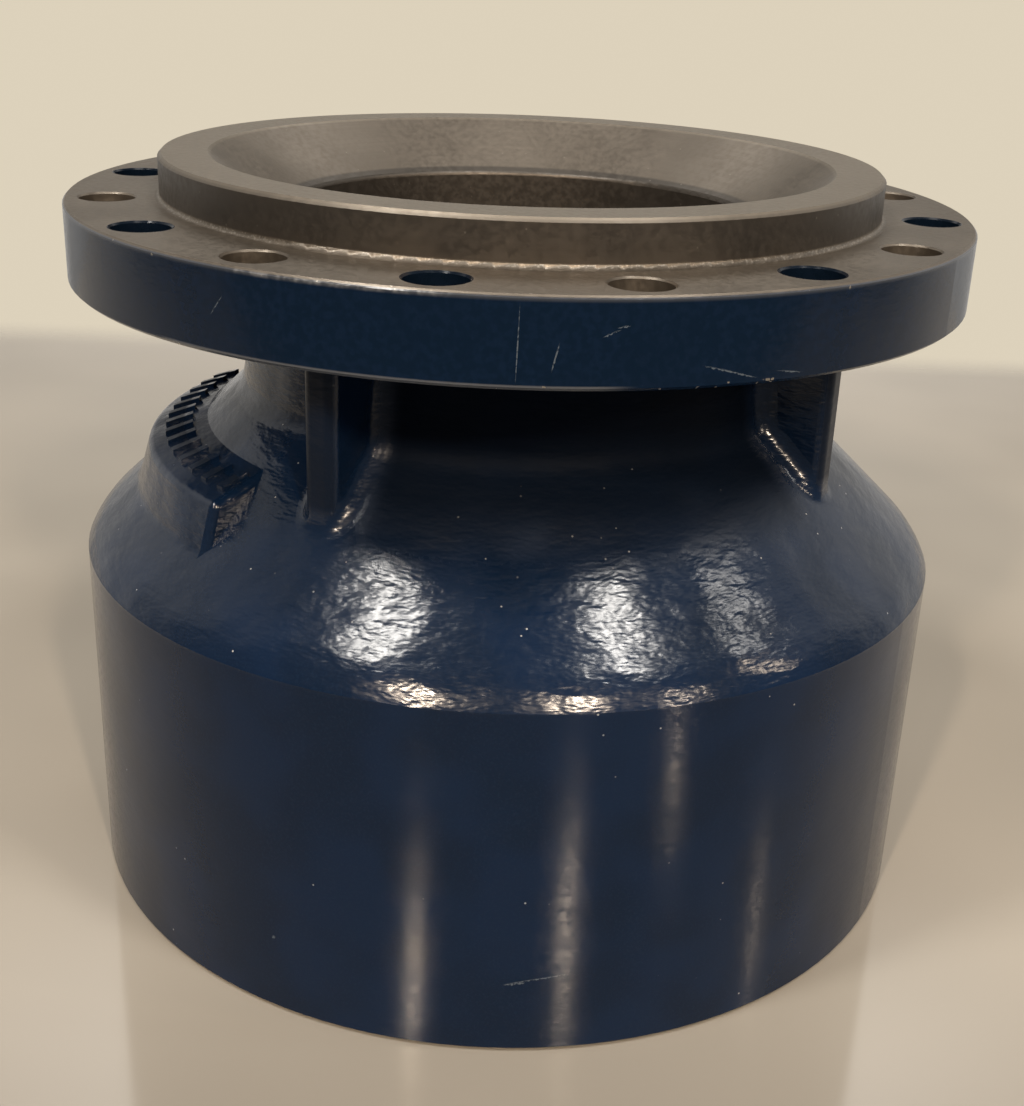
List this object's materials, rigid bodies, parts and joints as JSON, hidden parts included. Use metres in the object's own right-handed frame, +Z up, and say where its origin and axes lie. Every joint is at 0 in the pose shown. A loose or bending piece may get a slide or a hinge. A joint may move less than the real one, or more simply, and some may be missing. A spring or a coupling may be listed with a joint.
{
  "type": "turbine pump bowl",
  "caption": "Cast iron bowl of a vertical turbine pump, with a drilled flange and spigot on top, a ribbed neck, inner diffuser vanes and a bearing hub.",
  "frame": {"origin": "centre of the barrel's end face, at the base", "axes": "+Z up along the shaft's axis towards the spigot; +X through a flange hole"},
  "size_m": [0.2413, 0.2412, 0.2],
  "materials": {
    "bowl": "glossy navy enamel outside, bare machined iron on the flange, spigot and seat",
    "bush": "machined bronze"
  },
  "bodies": {
    "root": {"bowl_casting": "bowl", "bearing_bush": "bush"}
  },
  "joints": []
}
